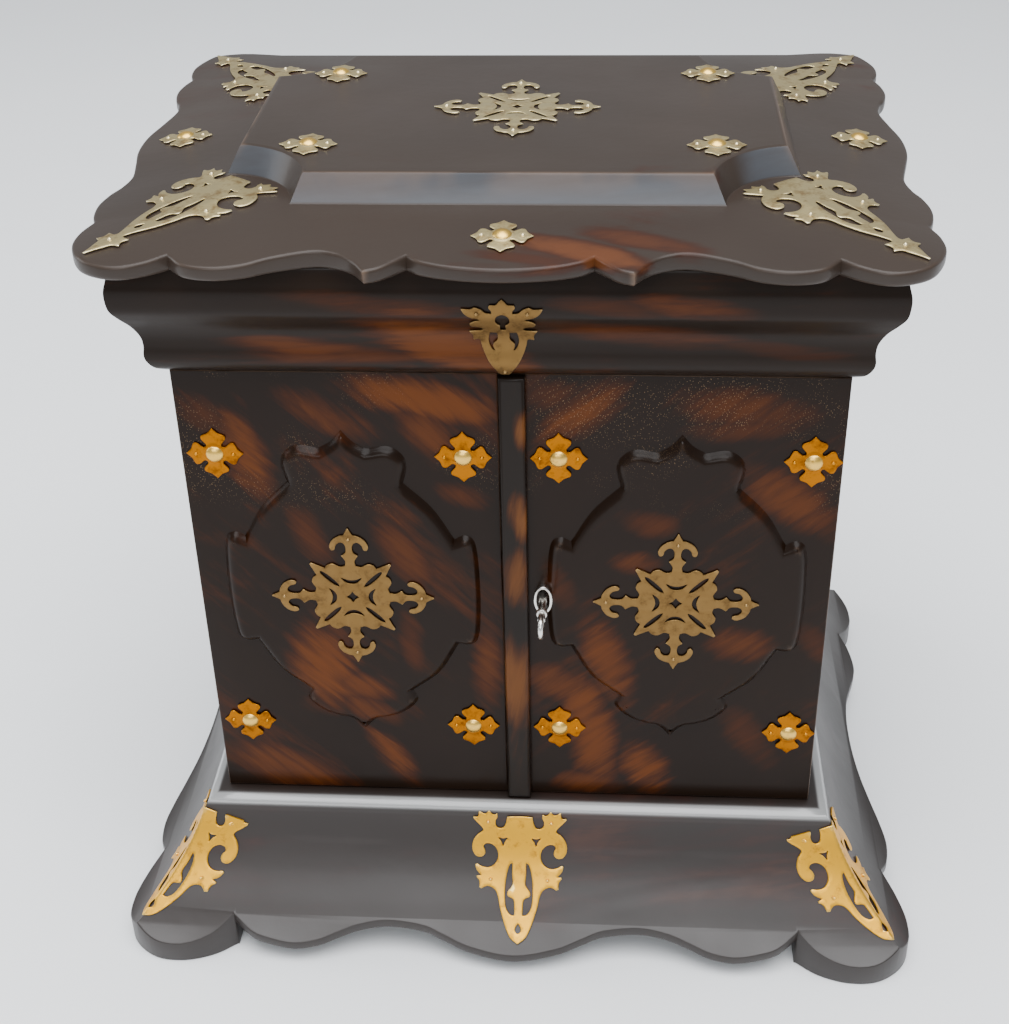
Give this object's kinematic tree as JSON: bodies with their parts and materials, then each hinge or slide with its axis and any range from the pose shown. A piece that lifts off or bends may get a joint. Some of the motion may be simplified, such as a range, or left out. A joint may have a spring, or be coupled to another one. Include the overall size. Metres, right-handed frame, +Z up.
{
  "type": "vanity box",
  "caption": "Lacquered table cabinet with a scalloped lid over a top well, doors with raised cartouches, a flared footed plinth and pierced brass mounts.",
  "frame": {"origin": "on the ground, under the middle of the body and of the plinth", "axes": "+Z up; the doors face -Y, the lid's hinges are at +Y, +X is to the right of someone who faces the doors"},
  "size_m": [0.3944, 0.3178, 0.3907],
  "materials": {
    "dark_lacquer": "semi-gloss dark lacquer",
    "mottled_lacquer": "semi-gloss mottled dark brown lacquer",
    "lid_lacquer": "semi-gloss greyed dark brown lacquer",
    "case_lacquer": "dark lacquer outside, plain stained wood inside",
    "brass": "polished, a little tarnished",
    "aged_brass": "dull, brown with age",
    "pale_brass": "pale, worn bright",
    "key_metal": "nickel-plated",
    "hinge_brass": "dull"
  },
  "bodies": {
    "case": {"base_corner_mount_left": "brass", "base_corner_mount_right": "brass", "base_mount_front": "brass", "carcase": "case_lacquer", "cornice": "dark_lacquer", "left_hinge_case_leaf": "hinge_brass", "lock_plate": "brass", "plinth": "dark_lacquer", "right_hinge_case_leaf": "hinge_brass"},
    "lid": {"left_hinge_lid_leaf": "hinge_brass", "lid": "lid_lacquer", "lid_corner_mount_back_left": "pale_brass", "lid_corner_mount_back_right": "pale_brass", "lid_corner_mount_front_left": "pale_brass", "lid_corner_mount_front_right": "pale_brass", "lid_medallion": "pale_brass", "lid_panel_rosette_back_left": "pale_brass", "lid_panel_rosette_back_right": "pale_brass", "lid_panel_rosette_front_left": "pale_brass", "lid_panel_rosette_front_right": "pale_brass", "lid_rosette_front": "pale_brass", "lid_rosette_left": "pale_brass", "lid_rosette_right": "pale_brass", "right_hinge_lid_leaf": "hinge_brass"},
    "left_door": {"left_door": "mottled_lacquer", "left_door_medallion": "aged_brass", "left_door_pin_lower": "hinge_brass", "left_door_pin_upper": "hinge_brass", "left_door_rosette_lower_inner": "brass", "left_door_rosette_lower_outer": "brass", "left_door_rosette_upper_inner": "brass", "left_door_rosette_upper_outer": "brass"},
    "right_door": {"cover_strip": "dark_lacquer", "key": "key_metal", "keyhole_ring": "key_metal", "right_door": "mottled_lacquer", "right_door_medallion": "aged_brass", "right_door_pin_lower": "hinge_brass", "right_door_pin_upper": "hinge_brass", "right_door_rosette_lower_inner": "brass", "right_door_rosette_lower_outer": "brass", "right_door_rosette_upper_inner": "brass", "right_door_rosette_upper_outer": "brass"}
  },
  "joints": [
    {"name": "lid_hinge", "type": "hinge", "parent": "case", "child": "lid", "pos_m": [0, 0.126, 0.3618], "axis": [-1, 0, 0], "range_deg": [0, 100]},
    {"name": "left_door_hinge", "type": "hinge", "parent": "case", "child": "left_door", "pos_m": [-0.142, -0.0995, 0.0725], "axis": [0, 0, -1], "range_deg": [0, 94]},
    {"name": "right_door_hinge", "type": "hinge", "parent": "case", "child": "right_door", "pos_m": [0.142, -0.0995, 0.0725], "axis": [0, 0, 1], "range_deg": [0, 94]}
  ]
}
